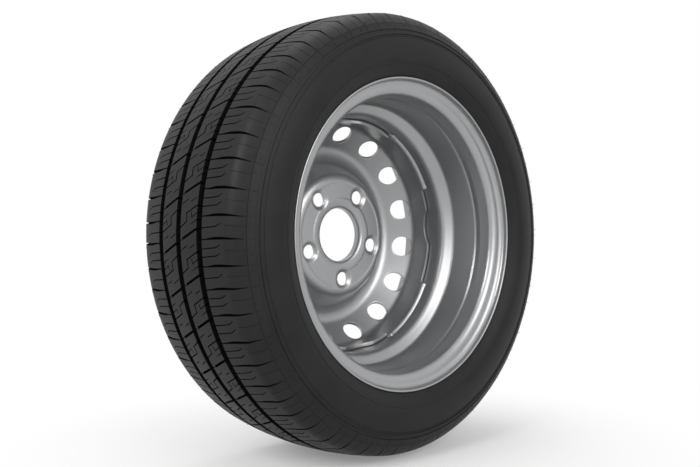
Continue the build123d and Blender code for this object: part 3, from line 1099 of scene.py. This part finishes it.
# Vent hairs: the thin spikes that rubber leaves in the mould's air holes, cut short or broken off.
# Each ring has its place across the tyre, its radius, the length of its hairs and their count.
hair_radius = 0.0003
hair_tip_share = 0.4
hair_slope_step = 0.0005
hair_ring_turn = 0.3
hair_jitter = 0.7
hair_rings = [
    (0.0868, contour_at(0.0868), 0.0030, 43),
    (0.0905, contour_at(0.0905), 0.0022, 31),
    (sidewall_at(0.222), 0.222, 0.0014, 17),
]
for number, (y, radius, length, count) in enumerate(hair_rings):
    slope = (contour_at(y + hair_slope_step) - contour_at(y - hair_slope_step)) / (2 * hair_slope_step)
    outward = Vector((1.0, -slope, 0.0)).normalized()
    hair = bmesh.new()
    tip_radius = hair_radius * hair_tip_share
    bmesh.ops.create_cone(
        hair, cap_ends=True, segments=5, radius1=hair_radius, radius2=tip_radius, depth=length
    )
    lean = outward.to_track_quat("Z", "Y").to_matrix().to_4x4()
    root = Vector((radius, y, 0)) + outward * (length / 2 - hair_radius)
    hair.transform(Matrix.Translation(root) @ lean)
    mirrored = hair.copy()
    mirrored.transform(Matrix.Diagonal((1, -1, 1, 1)))
    bmesh.ops.reverse_faces(mirrored, faces=mirrored.faces)
    for side, half in enumerate((hair, mirrored)):
        ring_name = f"vent hairs {number} {side}"
        mesh = repeated(
            ring_name,
            as_mesh(ring_name, half),
            count,
            hair_ring_turn * number,
            tyre_rubber,
            hair_jitter,
            seed=11 * number + side,
        )
        tyre_shape.from_mesh(mesh)
bmesh.ops.remove_doubles(tyre_shape, verts=tyre_shape.verts, dist=merge_distance)
tyre = placed("moulded_tyre", as_mesh("moulded_tyre", tyre_shape, 32))
finish_piece(tyre, tyre_rubber, ["tyre"])


# Valve: a rubber boot snapped into the rim, moulded round a brass stem with the core inside.
# The core's plug, barrel, seal, pin, cup and spring sit in the stem, and a plastic cap closes it.
# The spring stands on its foot, and in the real core it shortens as the pin is pressed; its piece here gets a
# mesh of its own.
valve_merge_distance = 0.000002


def turned_metal(name, base, roughness):
    """Turned or drawn metal with a little tarnish."""
    finish, tree, surface, place = new_finish(name)
    tarnish = noise(tree, place, Scale=380.0, Detail=3.0)
    looks = {
        "Base Color": shades(tree, tarnish, toned(base, 0.7), base),
        "Roughness": ranged(tree, tarnish, roughness - 0.06, roughness + 0.1),
        "Metallic": 1.0,
    }
    give(tree, surface, looks)
    return finish


def pale_polymer(name, low, high):
    """Smooth pale plastic with a faint mottle between two tones."""
    finish, tree, surface, place = new_finish(name)
    mottle = noise(tree, place, Scale=500.0)
    give(tree, surface, {"Base Color": shades(tree, mottle, low, high), "Roughness": 0.4})
    return finish


valve_finishes = {
    "valve_rubber": black_rubber("valve rubber", (0.020, 0.020, 0.020), 0.45, 0.55),
    "cap_plastic": black_rubber("cap plastic", (0.016, 0.016, 0.017), 0.35, 0.45),
    "brass": turned_metal("turned brass", (0.72, 0.53, 0.24), 0.28),
    "spring_steel": turned_metal("spring wire", (0.62, 0.62, 0.63), 0.30),
    "seal_polymer": pale_polymer("seal ring", (0.55, 0.52, 0.47), (0.66, 0.63, 0.58)),
}
valve_pieces = {
    "valve_boot": ("valve_rubber", "wheel"),
    "valve_stem": ("brass", "wheel"),
    "core_plug": ("brass", "wheel"),
    "core_barrel": ("brass", "wheel"),
    "core_seal": ("seal_polymer", "wheel"),
    "core_spring": ("spring_steel", "wheel"),
    "core_pin": ("brass", "core_pin"),
    "core_cup": ("valve_rubber", "core_pin"),
    "valve_cap": ("cap_plastic", "valve_cap"),
    "cap_seal": ("valve_rubber", "valve_cap"),
}
for name, (slot, body) in valve_pieces.items():
    shape = bmesh.new()
    shape.from_mesh(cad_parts[name].data)
    bmesh.ops.remove_doubles(shape, verts=shape.verts, dist=valve_merge_distance)
    piece = placed("dressed_" + name, as_mesh("dressed_" + name, shape, 35))
    finish_piece(piece, valve_finishes[slot], [name], body)
spring = bpy.data.objects["dressed_core_spring"]
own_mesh(spring)


# Floor: a wide pale disc under the tyre that fades to the white of the background.
# It is lit like the wheel near it, so it keeps the wheel's shadow.
floor_radius = 9.0
floor_segments = 96
fade_start = 0.14
fade_end = 0.55


def looked_at(tree):
    """1 for rays from the camera, a mirror or a clear body, 0 for diffuse light."""
    path = node(tree, "ShaderNodeLightPath").outputs
    seen = maths(tree, "MAXIMUM", path["Is Camera Ray"], path["Is Glossy Ray"])
    return maths(tree, "MAXIMUM", seen, path["Is Transmission Ray"])


floor_shape = bmesh.new()
bmesh.ops.create_circle(floor_shape, cap_ends=True, segments=floor_segments, radius=floor_radius)
bmesh.ops.translate(floor_shape, verts=floor_shape.verts, vec=(0, 0, cad_low.z))
floor_piece = placed("studio_floor", as_mesh("studio_floor", floor_shape))
floor_finish, tree, surface, place = new_finish("pale floor")
distance = node(tree, "ShaderNodeVectorMath", {0: place}, operation="LENGTH")
fade = node(
    tree,
    "ShaderNodeMapRange",
    {"Value": distance.outputs["Value"], "From Min": fade_start, "From Max": fade_end},
    interpolation_type="SMOOTHSTEP",
)
share = maths(tree, "MULTIPLY", looked_at(tree), fade.outputs["Result"])
white = node(tree, "ShaderNodeEmission", {"Color": (1, 1, 1, 1), "Strength": 1.0})
mixed = node(tree, "ShaderNodeMixShader", {0: share, 1: surface.outputs[0], 2: white.outputs[0]})
give(tree, surface, {"Base Color": (0.86, 0.86, 0.86, 1), "Roughness": 0.8})
give(tree, tree.nodes["Material Output"], {"Surface": mixed.outputs[0]})
floor_piece.data.materials.append(floor_finish)


# Studio: white all round for the eye and for reflections, softer for the fill, and three soft boxes.
fill_strength = 0.30
world = bpy.data.worlds.new("studio")
bpy.context.scene.world = world
world.use_nodes = True
tree = world.node_tree
strength = ranged(tree, looked_at(tree), fill_strength, 1.0)
give(tree, tree.nodes["Background"], {"Color": (1, 1, 1, 1), "Strength": strength})


def soft_box(name, place, size, power):
    """Square area lamp at a place, facing the wheel's centre."""
    lamp = bpy.data.lights.new(name, "AREA")
    lamp.size = size
    lamp.energy = power
    piece = bpy.data.objects.new(name, lamp)
    bpy.context.scene.collection.objects.link(piece)
    piece.location = place
    piece.rotation_euler = (-Vector(place)).to_track_quat("-Z", "Y").to_euler()


soft_box("key", (-0.3, -2.2, 0.95), 1.6, 31)
soft_box("side", (-2.2, -0.3, 1.3), 1.3, 42)
soft_box("top", (0.2, 0.3, 2.2), 1.4, 14)


# Camera: level with the wheel's centre, off to the tread side, as in the photograph.
camera_turn = radians(-44.567)
camera_rise = radians(-0.236)
camera_distance = 1.05914
focal_pixels = 858.75
picture_width = 700
picture_height = 467
axis_pixel = Vector((361.542, 234.564))
back = Vector((sin(camera_turn) * cos(camera_rise), -cos(camera_turn) * cos(camera_rise), sin(camera_rise)))
right = Vector((cos(camera_turn), sin(camera_turn), 0))
up = back.cross(right)
lens = bpy.data.cameras.new("camera")
lens.sensor_width = 36
lens.lens = focal_pixels * lens.sensor_width / picture_width
lens.shift_x = (picture_width / 2 - axis_pixel.x) / picture_width
lens.shift_y = (axis_pixel.y - picture_height / 2) / picture_width
camera = bpy.data.objects.new("camera", lens)
bpy.context.scene.collection.objects.link(camera)
turn = Matrix((right, up, back)).transposed()
camera.matrix_world = Matrix.LocRotScale(back * camera_distance, turn.to_quaternion(), None)
bpy.context.scene.camera = camera
bpy.context.scene.view_settings.view_transform = "Standard"
